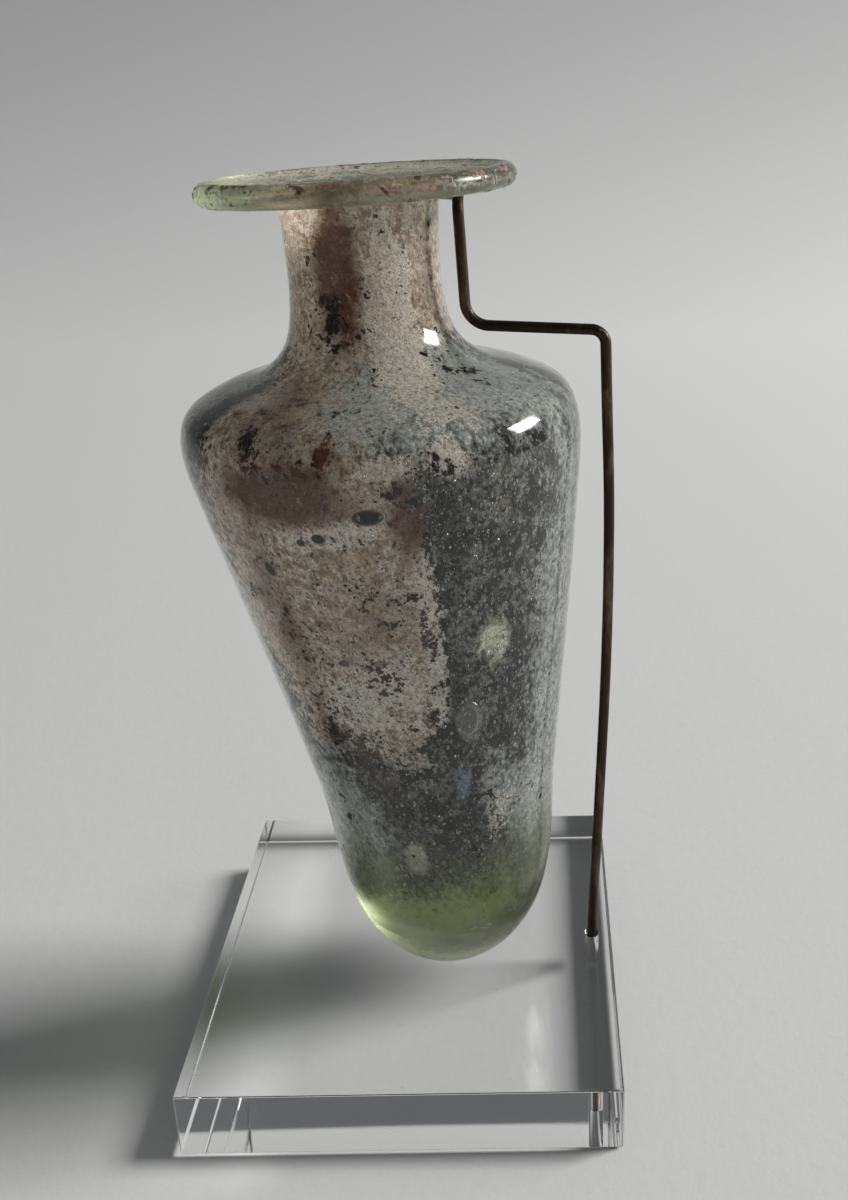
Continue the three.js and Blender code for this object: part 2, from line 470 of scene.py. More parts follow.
def weathered_film(settings):
    """The weathering on the wall: tan and pinkish clouds, brown stains, pale veils and specks, with
    painted light and shade laid in among them.
    """
    material, tree = new_material("weathered_film")
    place = in_mm(tree)
    streaked = in_mm(tree, (1, 1, 0.6), 20.0)
    specks = bpy.data.node_groups["Specks"]

    def layer(name):
        return add(tree, "Attribute", attribute_name=name).outputs["Fac"]

    def cloud(vector, scale, detail, warp=0.0):
        made = add(tree, "TexNoise", {
            "Vector": vector, "Scale": scale, "Detail": detail, "Roughness": 0.68,
            "Distortion": warp,
        })
        return ramp_straight(tree, made.outputs["Fac"], 0.3, 0.7)

    broad = cloud(place, 0.18, 3.0, 0.5)
    middling = cloud(place, 0.55, 6.0, 0.5)
    grain = cloud(streaked, 1.7, 5.0)
    fine = cloud(place, 4.2, 2.0)
    ragged = maths(tree, "ADD", maths(tree, "MULTIPLY", broad, 0.3), maths(
        tree, "MULTIPLY", middling, 0.4))
    ragged = maths(tree, "ADD", ragged, maths(tree, "MULTIPLY", grain, 0.3))

    def shown(amount, reach=2.0, softness=0.12, pattern=ragged):
        lifted = maths(tree, "ADD", amount, maths(
            tree, "MULTIPLY", maths(tree, "SUBTRACT", pattern, 0.5), reach))
        return ramp(tree, lifted, 0.5 - softness, 0.5 + softness)

    cover = layer("cover")
    is_warm = shown(layer("warmth"), 1.7, 0.22)
    # Where the film is not warm it is near black: painted shade from the dark inside seen through the thin
    # film, over grey weathering with a paler grain.
    grey_share = ramp(tree, maths(tree, "ADD", maths(tree, "MULTIPLY", grain, 0.6), maths(
        tree, "ADD", middling, maths(tree, "MULTIPLY", broad, 0.5))), 0.85, 1.45)
    shaded_grey = tint(tree, grey_share, rgb(settings.shaded_grey), rgb(settings.grey_light))
    warm_share = ramp(tree, maths(tree, "ADD", middling, maths(
        tree, "MULTIPLY", grain, 0.5)), 0.4, 1.1)
    warm = tint(tree, warm_share, rgb(settings.tan), rgb(settings.light_tan))
    colour = tint(tree, is_warm, shaded_grey, warm)
    # The bluish veil, partly painted sheen down both sides and low on the left.
    haze_and_sheen = shown(layer("haze_and_sheen"), 1.3, 0.4)
    colour = tint(tree, haze_and_sheen, colour, rgb(settings.haze_and_sheen))
    for name, reach, softness in (
        ("pale", 2.4, 0.2), ("brown", 1.8, 0.25), ("rust", 2.4, 0.12), ("blue", 0.9, 0.3),
        ("milky_and_glow", 0.8, 0.3), ("stain", 2.6, 0.12),
    ):
        share = shown(layer(name), reach, softness)
        colour = tint(tree, share, colour, rgb(getattr(settings, name)))
    mottled = ramp_straight(tree, maths(tree, "ADD", grain, fine), 0.35, 1.65, 0.45, 1.4)
    colour = tint(tree, 1.0, colour, mottled, way="MULTIPLY")

    crumb = maths(tree, "ADD", cloud(place, 1.0, 5.0), maths(
        tree, "MULTIPLY", layer("crumbs"), 0.3))
    crumbs = ramp(tree, crumb, 0.86, 0.89)
    dashes = ramp(tree, cloud(streaked, 2.4, 3.0), 0.84, 0.9)
    speckled = maths(tree, "MAXIMUM", maths(tree, "MULTIPLY", crumbs, is_warm), maths(
        tree, "MULTIPLY", dashes, 0.8))
    colour = tint(tree, speckled, colour, rgb(settings.iron))
    # Painted glints: pale rings and dots for the fine bubbles, mostly on the dark side.
    seed = {"Vector": in_mm(tree, (1, 1, 0.55)), "Radius": 0.3, "Ragged": 0.1}
    bubbles = maths(
        tree, "MAXIMUM",
        use_group(tree, specks, {**seed, "Scale": 1.3, "Share": 0.55}, "Ring"),
        maths(tree, "MULTIPLY", use_group(tree, specks, {
            **seed, "Scale": 2.9, "Share": 0.6}), 0.7),
    )
    bubbles = maths(tree, "MULTIPLY", bubbles, maths(
        tree, "SUBTRACT", 1.0, maths(tree, "MULTIPLY", is_warm, 0.85)))
    colour = tint(tree, maths(tree, "MULTIPLY", bubbles, 0.8), colour, rgb(settings.bubble))

    body = shown(cover, 0.7, 0.3, pattern=maths(tree, "MULTIPLY", maths(
        tree, "ADD", ragged, grain), 0.5))
    marks = maths(tree, "MULTIPLY", maths(tree, "MAXIMUM", bubbles, speckled), cover, clamp=True)
    alpha = maths(tree, "MAXIMUM", body, marks)
    relief = add(tree, "Bump", {
        "Strength": 0.6, "Distance": 0.00012, "Height": maths(tree, "ADD", ragged, grain)})
    film = add(tree, "BsdfPrincipled", {
        "Base Color": colour,
        "Roughness": ramp(tree, grain, 0.0, 1.0, 0.45, 0.85),
        "Specular IOR Level": 0.12,
        "Normal": relief.outputs[0],
    })
    glow = add(tree, "BsdfTranslucent", {"Color": colour, "Normal": relief.outputs[0]})
    lit = add(tree, "MixShader", {0: 0.65, 1: film.outputs[0], 2: glow.outputs[0]})
    clear = add(tree, "BsdfTransparent")
    mixed = add(tree, "MixShader", {0: alpha, 1: clear.outputs[0], 2: lit.outputs[0]})
    give_surface(tree, mixed.outputs[0])
    return material


def bubble_lining(settings):
    """The lining of larger bubbles: a pale rim with a painted highlight, and painted shade in the middle
    where one looks into the bubble.
    """
    material, tree = new_material("bubble_lining")

    def layer(name):
        return add(tree, "Attribute", attribute_name=name).outputs["Fac"]

    grain = add(tree, "TexNoise", {"Vector": in_mm(tree), "Scale": 2.5, "Detail": 4.0})
    # The rim's paleness carries a painted highlight; the core is painted shade.
    rim = maths(tree, "MULTIPLY", layer("rim"), ramp(
        tree, grain.outputs["Fac"], 0.3, 0.6, 0.55, 1.0))
    core = layer("core")
    colour = tint(tree, rim, rgb(settings.hollow_shade), rgb(settings.bubble))
    lining = add(tree, "BsdfPrincipled", {
        "Base Color": colour, "Roughness": 0.25, "Specular IOR Level": 0.05})
    glow = add(tree, "BsdfTranslucent", {"Color": colour})
    lit = add(tree, "MixShader", {0: 0.5, 1: lining.outputs[0], 2: glow.outputs[0]})
    clear = add(tree, "BsdfTransparent")
    alpha = maths(tree, "MAXIMUM", rim, core)
    mixed = add(tree, "MixShader", {0: alpha, 1: clear.outputs[0], 2: lit.outputs[0]})
    give_surface(tree, mixed.outputs[0])
    return material


def crust(settings):
    """Crust on the rim: a thin pale skin over much of it, with dark red lumps."""
    material, tree = new_material("rim_crust")
    place = in_mm(tree)

    def layer(name):
        return add(tree, "Attribute", attribute_name=name).outputs["Fac"]

    def cloud(scale, detail, warp=0.0):
        made = add(tree, "TexNoise", {
            "Vector": place, "Scale": scale, "Detail": detail, "Roughness": 0.66,
            "Distortion": warp,
        })
        return ramp_straight(tree, made.outputs["Fac"], 0.3, 0.7)

    middling = cloud(0.45, 8.0, 0.6)
    fine = cloud(2.0, 6.0)
    ragged = maths(tree, "ADD", maths(tree, "MULTIPLY", middling, 0.6), maths(
        tree, "MULTIPLY", fine, 0.4))

    def shown(amount, reach, softness):
        lifted = maths(tree, "ADD", amount, maths(
            tree, "MULTIPLY", maths(tree, "SUBTRACT", ragged, 0.5), reach))
        return ramp(tree, lifted, 0.5 - softness, 0.5 + softness)

    skin = shown(layer("pale"), 1.8, 0.3)
    red = shown(layer("rust"), 2.0, 0.1)
    black = shown(layer("stain"), 2.2, 0.1)
    colour = tint(tree, fine, rgb(settings.skin), rgb(settings.pale))
    reds = tint(tree, fine, rgb(settings.rust_deep), rgb(settings.rust_pale))
    colour = tint(tree, red, colour, reds)
    colour = tint(tree, black, colour, rgb(settings.iron))
    alpha = maths(tree, "MAXIMUM", maths(tree, "MULTIPLY", skin, 0.75), maths(
        tree, "MAXIMUM", red, black))
    relief = add(tree, "Bump", {"Strength": 0.8, "Distance": 0.0002, "Height": alpha})
    body = add(tree, "BsdfPrincipled", {
        "Base Color": colour, "Roughness": 0.6, "Normal": relief.outputs[0],
    })
    clear = add(tree, "BsdfTransparent")
    mixed = add(tree, "MixShader", {0: alpha, 1: clear.outputs[0], 2: body.outputs[0]})
    give_surface(tree, mixed.outputs[0])
    return material


def iron_lumps(settings):
    """Small dark lumps of iron and manganese crust."""
    material, tree = new_material("iron_lumps")
    grain = add(tree, "TexNoise", {"Vector": in_mm(tree), "Scale": 3.0, "Detail": 5.0})
    share = ramp(tree, grain.outputs["Fac"], 0.4, 0.65)
    lump = add(tree, "BsdfPrincipled", {
        "Base Color": tint(tree, share, rgb(settings.stain), rgb(settings.rust_deep)),
        "Roughness": ramp(tree, share, 0.0, 1.0, 0.35, 0.8),
    })
    give_surface(tree, lump.outputs[0])
    return material


def bronze(settings):
    """Dark bronze wire: brown patina, worn warmer in long patches."""
    material, tree = new_material("dark_bronze")
    place = in_mm(tree)
    blotches = bpy.data.node_groups["Blotches"]
    worn = use_group(tree, blotches, {
        "Vector": in_mm(tree, (1, 1, 0.25)), "Scale": 0.5, "Least": 0.5, "Most": 0.7,
    })
    specks = use_group(tree, blotches, {
        "Vector": place, "Scale": 3.0, "Least": 0.55, "Most": 0.68,
    })
    colour = tint(tree, worn, rgb(settings.patina), rgb(settings.worn))
    colour = tint(tree, maths(tree, "MULTIPLY", specks, 0.6), colour, rgb(settings.tarnish))
    relief = add(tree, "Bump", {"Strength": 0.5, "Distance": 0.00008, "Height": specks})
    metal = add(tree, "BsdfPrincipled", {
        "Base Color": colour,
        "Metallic": 0.85,
        "Roughness": ramp(tree, worn, 0.0, 1.0, 0.42, 0.28),
        "Normal": relief.outputs[0],
    })
    give_surface(tree, metal.outputs[0])
    return material


def lamp_light_in_block(tree):
    """How much lamp light the block lets down to the floor: a painted shadow of the flask's foot, a
    painted bright strip by the left wall, and low side walls that hold light back, set for this window's
    direction.
    """
    parts = add(tree, "SeparateXYZ", {"Vector": in_mm(tree)})
    height = parts.outputs["Z"]
    low_wall = maths(tree, "MULTIPLY", maths(tree, "GREATER_THAN", height, 0.3), maths(
        tree, "LESS_THAN", height, WALL_SHADE_HEIGHT))
    landing_x = maths(tree, "ADD", parts.outputs["X"], LANDING[0])
    landing_y = maths(tree, "ADD", parts.outputs["Y"], LANDING[1])
    across = maths(tree, "DIVIDE", maths(tree, "SUBTRACT", landing_x, PAINTED_FOOT_SHADOW[0]), PAINTED_FOOT_SHADOW[2])
    along = maths(tree, "DIVIDE", maths(tree, "SUBTRACT", landing_y, PAINTED_FOOT_SHADOW[1]), PAINTED_FOOT_SHADOW[3])
    away = maths(tree, "SQRT", maths(tree, "ADD", maths(tree, "MULTIPLY", across, across), maths(
        tree, "MULTIPLY", along, along)))
    # Painted shadow: the floor's lamp light is cut to a tenth in a soft oval below the flask's foot.
    lit = ramp(tree, away, 0.45, 1.3, 0.1, 1.0)
    # Painted bright strip: near the left wall the floor gets up to 1.66 times the lamp light.
    painted_bright_strip = maths(tree, "MULTIPLY", ramp(tree, landing_x, -29.0, -27.5), ramp(
        tree, landing_x, -20.5, -22.5))
    lit = maths(tree, "MULTIPLY", lit, maths(tree, "ADD", 0.96, maths(
        tree, "MULTIPLY", painted_bright_strip, 0.7)))
    on_top = maths(tree, "GREATER_THAN", height, 9.9)
    passed = maths(tree, "ADD", maths(tree, "MULTIPLY", on_top, lit), maths(
        tree, "MULTIPLY", maths(tree, "SUBTRACT", 1.0, on_top), maths(
            tree, "SUBTRACT", 0.96, maths(tree, "MULTIPLY", low_wall, 0.92))))
    return add(tree, "CombineColor", {"Red": passed, "Green": passed, "Blue": passed}).outputs[0]


def acrylic(settings):
    """Clear polished acrylic with faint wiping marks; the lamp light it lets down carries a painted shadow
    and a painted bright strip.
    """
    material, tree = new_material("clear_acrylic")
    specks = bpy.data.node_groups["Specks"]
    dust = use_group(tree, specks, {
        "Vector": in_mm(tree), "Scale": 0.35, "Radius": 0.09, "Share": 0.35, "Ragged": 0.4,
    })
    waves = add(tree, "TexNoise", {"Vector": in_mm(tree), "Scale": 0.05, "Detail": 1.0})
    height = maths(tree, "ADD", waves.outputs["Fac"], maths(tree, "MULTIPLY", dust, 0.05))
    relief = add(tree, "Bump", {"Strength": 0.06, "Distance": 0.0002, "Height": height})
    clear = add(tree, "BsdfPrincipled", {
        "Base Color": tint(tree, dust, rgb(settings.colour), rgb(settings.dust)),
        "Roughness": ramp(tree, dust, 0.0, 1.0, 0.03, 0.2),
        "IOR": 1.49,
        "Transmission Weight": 1.0,
        "Normal": relief.outputs[0],
    })
    let_lamps_through(tree, clear.outputs[0], lamp_light_in_block(tree))
    return material


def paper(settings):
    """Pale matt paper under and behind the object."""
    material, tree = new_material("pale_paper")
    fibres = add(tree, "TexNoise", {
        "Vector": in_mm(tree), "Scale": 0.5, "Detail": 6.0, "Roughness": 0.7,
    }).outputs["Fac"]
    shade = maths(tree, "MULTIPLY_ADD", fibres, 0.06)
    shade.node.inputs[2].default_value = 0.97
    relief = add(tree, "Bump", {"Strength": 0.15, "Distance": 0.0003, "Height": fibres})
    sheet = add(tree, "BsdfPrincipled", {
        "Base Color": tint(tree, 1.0, rgb(settings.floor_colour), shade, way="MULTIPLY"),
        "Roughness": 0.9,
        "Normal": relief.outputs[0],
    })
    give_surface(tree, sheet.outputs[0])
    return material


# ---------------------------------------------------------------- settings

def length(name, description, default):
    """A length property in metres."""
    return FloatProperty(
        name=name, description=description, default=default, min=0.0, unit="LENGTH",
        subtype="DISTANCE", precision=4,
    )


def colour(name, description, default):
    """A colour property."""
    return FloatVectorProperty(
        name=name, description=description, default=default, size=3, min=0.0, max=1.0,
        subtype="COLOR",
    )


class FlaskSettings(bpy.types.PropertyGroup):
    """Sizes and colours of the glass flask."""

    wall: length("Wall", "Thickness of the body's wall", 0.0015)
    neck_wall: length("Neck wall", "Thickness of the wall at the top of the neck", 0.0018)
    base_wall: length("Base wall", "Thickness of the glass at the tip", 0.0034)
    rim_radius: length("Rim radius", "Radius of the flat rim", 0.02077)
    rim_thickness: length("Rim thickness", "Thickness of the rim's rounded edge", 0.0031)
    skin: length("Crust", "How thick the crust on the rim is", 0.00005)
    turn_steps: IntProperty(
        name="Turn steps", description="Faces round the flask", default=160, min=48, max=256,
    )
    glass_colour: colour("Glass", "Tint of the thin glass", (0.95, 0.97, 0.945))
    thick_glass_colour: colour("Thick glass", "Tint of the base and rim", (0.46, 0.51, 0.31))


class WeatheringSettings(bpy.types.PropertyGroup):
    """Colours and grain of the weathering."""

    film_depth: length("Film depth", "How far into the wall the weathering reaches", 0.00004)
    tan: colour("Tan", "Warm weathering", (0.50, 0.36, 0.26))
    light_tan: colour("Light tan", "Its paler clouds", (0.92, 0.80, 0.69))
    pale: colour("Pinkish white", "Pale flaking patches", (0.97, 0.88, 0.80))
    blue: colour("Blue", "Iridescent patch", (0.30, 0.36, 0.52))
    # Pale yellowish weathering, also used for a painted highlight and a painted glow.
    milky_and_glow: colour("Milky", "Pale yellowish patches", (0.85, 0.86, 0.70))
    # Painted shade seen into open bubbles.
    hollow_shade: colour("Hollow", "Dark inside of an open bubble", (0.030, 0.034, 0.038))
    brown: colour("Brown", "Stained patches", (0.20, 0.105, 0.065))
    rust: colour("Rust", "Red-brown stains", (0.20, 0.060, 0.025))
    rust_deep: colour("Deep rust", "Dark parts of the rim's crust", (0.13, 0.045, 0.030))
    rust_pale: colour("Pale rust", "Light parts of the rim's crust", (0.42, 0.24, 0.19))
    skin: colour("Skin", "Thin pale skin on the rim", (0.55, 0.53, 0.45))
    # A thin bluish veil, partly painted sheen.
    haze_and_sheen: colour("Haze", "Thin bluish haze", (0.66, 0.70, 0.67))
    # Near black: thin grey weathering darkened with painted shade from the dark inside seen through it.
    shaded_grey: colour("Grey", "Thin weathering on the right", (0.045, 0.045, 0.042))
    grey_light: colour("Light grey", "Its paler grain", (0.30, 0.30, 0.27))
    stain: colour("Dark", "Near black stains", (0.02, 0.016, 0.014))
    iron: colour("Iron", "Dark red specks", (0.05, 0.016, 0.010))
    # Painted glints of fine bubbles, and the linings' pale rims.
    bubble: colour("Bubble", "Fine pale bubbles", (0.88, 0.89, 0.85))
    seed: IntProperty(name="Seed", description="Which scatter is used", default=7, min=0)
    seed_bubbles: IntProperty(
        name="Seed bubbles", description="Fine lined bubbles on the dark side", default=260, min=0,
    )


class RodSettings(bpy.types.PropertyGroup):
    """The bent rod."""

    radius: length("Radius", "Half the wire's thickness", 0.00074)
    patina: colour("Patina", "Dark brown surface", (0.045, 0.028, 0.020))
    worn: colour("Worn", "Warmer worn metal", (0.13, 0.08, 0.05))
    tarnish: colour("Tarnish", "Dull specks", (0.03, 0.025, 0.022))


class BlockSettings(bpy.types.PropertyGroup):
    """The clear block."""

    edge: length("Edge", "Rounding of the polished edges", 0.00025)
    colour: colour("Acrylic", "Tint of the block", (0.985, 0.99, 0.985))
    dust: colour("Dust", "Specks on it", (0.7, 0.7, 0.68))


class StageSettings(bpy.types.PropertyGroup):
    """Floor, lamps and camera."""

    floor_colour: colour("Floor", "Colour of the paper", (0.78, 0.785, 0.79))
    window_power: FloatProperty(
        name="Window", description="Power of the window light", default=140.0, min=0.0,
        unit="POWER",
    )
    sky: FloatProperty(
        name="Room light", description="Strength of the room's soft light", default=0.11, min=0.0,
    )


# ---------------------------------------------------------------- the flask

def rim_profile(settings, inset=0.0):
    """The rim from under its edge, round it and over the dished top to the mouth."""
    half = settings.rim_thickness / MM / 2
    edge = settings.rim_radius / MM - half
    half -= inset
    top = RIM_HEIGHT + half
    neck = OUTER_WALL[-1][0]
    points = [
        Vector((neck + 0.15, OUTER_WALL[-1][1] + 0.4)),
        Vector((neck + RIM_FILLET, RIM_HEIGHT - half)),
    ]
    points += [Vector((mix(neck + RIM_FILLET, edge, share / 6), RIM_HEIGHT - half))
               for share in range(1, 6)]
    for step in range(RIM_ARC_STEPS + 1):
        turn = math.pi * (step / RIM_ARC_STEPS - 0.5)
        points.append(Vector((edge + half * math.cos(turn), RIM_HEIGHT + half * math.sin(turn))))
    dished = (
        (edge, top),
        (edge - RIM_DISH_WIDTH, top - RIM_DISH),
        ((edge + MOUTH_RADIUS) / 2, top - RIM_DISH - RIM_SLOPE),
        (MOUTH_RADIUS, top - RIM_DISH - MOUTH_DROP),
    )
    points += [spline(dished, step / 18) for step in range(1, 19)]
    return points


def inner_curve(settings, gap=0.0):
    """The inside of the wall, from the axis up, moved in by a further gap."""
    return moved_in(OUTER_CURVE, lambda height: wall_thickness(height, settings) + gap)


class OBJECT_OT_build_flask(bpy.types.Operator):
    """Blow the flask: one closed glass wall, its rim, its mouth and the bubbles in it"""

    bl_idname = "unguentarium.build_flask"
    bl_label = "Build Flask"

    def execute(self, context):
        settings = context.scene.unguentarium_flask
        profile = OUTER_CURVE + rim_profile(settings, settings.skin / MM)
        profile += inner_curve(settings)[::-1]
        shape = spun(profile, settings.turn_steps, closed=True)
        for corner in shape.verts:
            corner.co = lean(corner.co)
        add_bubbles(shape, settings)
        piece = finished(shape, "flask_glass", flask_glass(settings))
        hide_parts("flask")
        return {"FINISHED"}


# Larger bubbles in the wall: angle, height, half width, half height, half depth, slant.
NAMED_BUBBLES = (
    (-67.3, 46.2, 1.9, 3.3, 0.25, 4),
    (-44.2, 15.9, 0.8, 2.6, 0.45, -8),
    (-62.0, 70.0, 0.75, 0.75, 0.4, 0),
    (-59.0, 55.5, 0.45, 0.95, 0.35, 0),
    (-54.0, 71.5, 0.5, 0.6, 0.35, 0),
)


def add_bubble(shape, angle, height, sizes, slant, depth, detail):
    """A closed bubble inside the wall, its faces turned to the air in it."""
    wide, tall, deep = sizes
    place = on_wall(angle, height, depth) @ Matrix.Rotation(math.radians(slant), 4, "Z")
    place = place @ Matrix.Diagonal((wide, tall, deep, 1.0))
    made = bmesh.ops.create_icosphere(shape, subdivisions=detail, radius=1.0, matrix=place)
    faces = {face for corner in made["verts"] for face in corner.link_faces}
    bmesh.ops.reverse_faces(shape, faces=list(faces))


def add_bubbles(shape, settings):
    """All the bubbles: the named ones, fine seed over the body and slanted ones in the neck."""
    chance = random.Random(11)
    for angle, height, wide, tall, deep, slant in NAMED_BUBBLES:
        add_bubble(shape, angle, height, (wide, tall, deep), slant, 0.75, 3)
    for _ in range(420):
        angle = chance.triangular(-125, 20, -52)
        height = chance.uniform(12, 84)
        size = chance.uniform(0.08, 0.2) * chance.choice((1, 1, 1, 1.6))
        tall = size * chance.uniform(1.0, 2.4)
        depth = chance.uniform(0.35, 1.1)
        add_bubble(shape, angle, height, (size, tall, size * 0.9), chance.gauss(0, 8), depth, 1)
    for _ in range(60):
        angle = chance.uniform(-180, 180)
        height = chance.uniform(93, 110)
        size = chance.uniform(0.08, 0.16)
        tall = size * chance.uniform(2.0, 5.0)
        add_bubble(shape, angle, height, (size, tall, size), 28, chance.uniform(0.5, 1.1), 1)


# ---------------------------------------------------------------- the weathering film


# Clouds of the film's layers: angle, height, half width in degrees, half height in mm, amount.
# An angle of -90 degrees is the front, 0 the rod's side.
CLOUDS = {
    "cover": (
        (-105, 62, 62, 60, 1.0),
        (-95, 102, 190, 16, 1.1),
        (110, 60, 90, 62, 1.0),
        (-30, 60, 55, 58, 0.85),
        (42, 60, 48, 55, -0.35),
        (-170, 58, 50, 62, 1.0),
        (-160, 87, 30, 4, -0.7),
        (-90, 2, 190, 14, -0.6),
    ),
    "warmth": (
        (-118, 64, 40, 28, 1.0),
        (-88, 64, 15, 26, 0.8),
        (-95, 104, 190, 15, 1.1),
        (-115, 88, 40, 5, 0.6),
        (100, 60, 80, 50, 0.25),
    ),
    # A thin bluish veil; the bands at -165 and -18 degrees, down both sides, and the patch low on the left
    # at -128 are painted sheen.
    "haze_and_sheen": (
        (-128, 26, 22, 16, 0.8),
        (-165, 50, 24, 50, 0.75),
        (-18, 50, 24, 50, 0.6),
        (-60, 89, 60, 6, 0.8),
        (-56, 34, 12, 8, 0.55),
        (-40, 28, 14, 10, 0.45),
    ),
    "brown": (
        (-112, 80, 24, 5, 0.85),
        (-79, 76, 7, 7, 0.6),
        (-105, 104, 22, 12, 0.85),
        (-118, 88, 18, 3, 0.5),
        (-100, 62, 16, 8, 0.3),
        (-128, 62, 10, 14, 0.35),
        (-108, 36, 14, 6, 0.35),
    ),
    "pale": (
        (-93, 52, 18, 8, 0.75),
        (-56, 30, 9, 5, 0.5),
        (-83, 71, 8, 7, 0.35),
        (-76.5, 60, 4, 16, 0.8),
        (-64, 99, 22, 14, 1.5),
        (-97, 75.5, 12, 2.5, 0.8),
        (-84, 83, 9, 1.8, 0.85),
        (-66, 83, 6, 2.5, 0.6),
        (-113, 76, 8, 3, 0.5),
        (-114, 49, 14, 6, 0.75),
        (-115, 68, 14, 10, 0.3),
        (-135, 103, 10, 8, 0.35),
    ),
    "rust": (
        (-98, 85, 4, 1.6, 0.7),
        (-105, 104, 18, 10, 0.35),
        (-120, 84, 7, 3, 0.35),
        (-97, 14, 3.5, 2, 1.1),
        (-104, 36, 10, 5, 0.25),
    ),
    "blue": (
        (-71.8, 36.8, 5, 3.2, 1.0),
        (-128, 40, 8, 6, 0.4),
    ),
    # Pale yellowish patches: the lowest band is milky weathering, the patch at -98.8 degrees is a painted
    # highlight, and the one at -55.5 is a painted glow where light shines through both walls.
    "milky_and_glow": (
        (-98.8, 24.3, 7, 2.6, 1.2),
        (-55.5, 57.6, 9, 4, 0.75),
        (-90, 17, 18, 4, 0.5),
    ),
    "stain": (
        (-121, 45, 8, 3.5, 0.62),
        (-112, 41, 7, 2.5, 0.6),
        (-103, 33, 10, 3, 0.42),
        (-112, 98, 12, 5, 0.55),
        (-123, 84.5, 4, 2.5, 0.6),
        (-150, 86, 8, 4, 0.7),
        (-68, 76, 6, 10, 0.32),
        (-72, 50, 6, 12, 0.25),
        (-66, 30, 14, 10, 0.28),
    ),
    "crumbs": (
        (-105, 60, 30, 26, 0.25),
        (-120, 52, 12, 14, 0.45),
        (-96, 54, 8, 4, 0.5),
        (-110, 40, 14, 7, 0.5),
    ),
}


def painted(clouds, angle, height):
    """How strong a layer is at a place: its clouds added up."""
    amount = 0.0
    for middle, level, wide, tall, strength in clouds:
        aside = (angle - middle + 180.0) % 360.0 - 180.0
        away = math.hypot(aside / wide, (height - level) / tall)
        amount += strength * (1.0 - smoothstep(away, 0.35, 1.3))
    return amount


class OBJECT_OT_build_film(bpy.types.Operator):
    """Lay the thin weathered film in the inside of the wall"""

    bl_idname = "unguentarium.build_film"
    bl_label = "Build Weathered Film"

    def execute(self, context):
        flask = context.scene.unguentarium_flask
        settings = context.scene.unguentarium_weathering
        lining = inner_curve(flask, -settings.film_depth / MM)
        shape = spun(lining, flask.turn_steps, closed=False)
        bmesh.ops.recalc_face_normals(shape, faces=shape.faces)
        layers = {name: shape.verts.layers.float.new(name) for name in CLOUDS}
        for corner in shape.verts:
            x, y, height = corner.co
            angle = math.degrees(math.atan2(y, x))
            for name, layer in layers.items():
                corner[layer] = painted(CLOUDS[name], angle, height)
            corner.co = lean(corner.co)
        finished(shape, "weathered_film", weathered_film(settings))
        return {"FINISHED"}


# Crust on the rim: angle, profile place from 0 at the neck to 1 at the mouth, half widths, amount.
RIM_CLOUDS = {
    "pale": (
        (-125, 0.8, 55, 0.3, 0.85),
        (-75, 0.75, 30, 0.25, 0.5),
        (-95, 0.36, 120, 0.2, 0.3),
        (100, 0.7, 120, 0.35, 0.6),
    ),
    "rust": (
        (-96, 0.42, 16, 0.12, 0.5),
        (-72, 0.40, 12, 0.12, 0.55),
        (-58, 0.36, 7, 0.12, 0.55),
        (-38, 0.44, 8, 0.1, 0.5),
        (-18, 0.42, 8, 0.1, 0.5),
        (-130, 0.46, 30, 0.05, 0.4),
        (80, 0.45, 60, 0.15, 0.45),
    ),
    "stain": (
        (-160, 0.34, 6, 0.14, 0.7),
        (-140, 0.46, 8, 0.06, 0.55),
        (-124, 0.48, 8, 0.05, 0.5),
        (-62, 0.46, 5, 0.06, 0.4),
        (150, 0.4, 20, 0.1, 0.4),
    ),
}


class OBJECT_OT_build_rim_crust(bpy.types.Operator):
    """Lay the thin crust over the rim's edge and top"""

    bl_idname = "unguentarium.build_rim_crust"
    bl_label = "Build Rim Crust"

    def execute(self, context):
        flask = context.scene.unguentarium_flask
        settings = context.scene.unguentarium_weathering
        profile = rim_profile(flask)[2:]
        shape = spun(profile, flask.turn_steps, closed=False)
        bmesh.ops.recalc_face_normals(shape, faces=shape.faces)
        places = {}
        for index, point in enumerate(profile):
            places[round(point.x, 3), round(point.y, 3)] = index / (len(profile) - 1)
        layers = {name: shape.verts.layers.float.new(name) for name in RIM_CLOUDS}
        for corner in shape.verts:
            x, y, height = corner.co
            angle = math.degrees(math.atan2(y, x))
            key = (round(math.hypot(x, y), 3), round(height, 3))
            share = places.get(key, 0.5)
            for name, layer in layers.items():
                corner[layer] = painted(RIM_CLOUDS[name], angle, share)
            corner.co = lean(corner.co)
        finished(shape, "rim_crust", crust(settings))
        return {"FINISHED"}


# Clusters of lumps on the film: angle, height, spread in degrees and mm, how many, size.
LUMP_CLUSTERS = (
    (-78.5, 61.5, 1.2, 3.0, 22, 0.38),
    (-77.0, 59.0, 1.4, 1.6, 14, 0.4),
    (-96.5, 54.5, 2.6, 1.8, 26, 0.34),
    (-100, 57.5, 2.0, 1.5, 10, 0.3),
    (-105, 60, 24, 22, 150, 0.2),
    (-121, 46, 5, 4, 40, 0.35),
    (-112, 41, 6, 4, 40, 0.36),
    (-84, 66, 12, 16, 60, 0.2),
    (-122, 84.5, 3, 1.6, 20, 0.3),
    (-118, 98, 14, 5, 40, 0.26),
)


LUMP_THICKNESS = 0.06

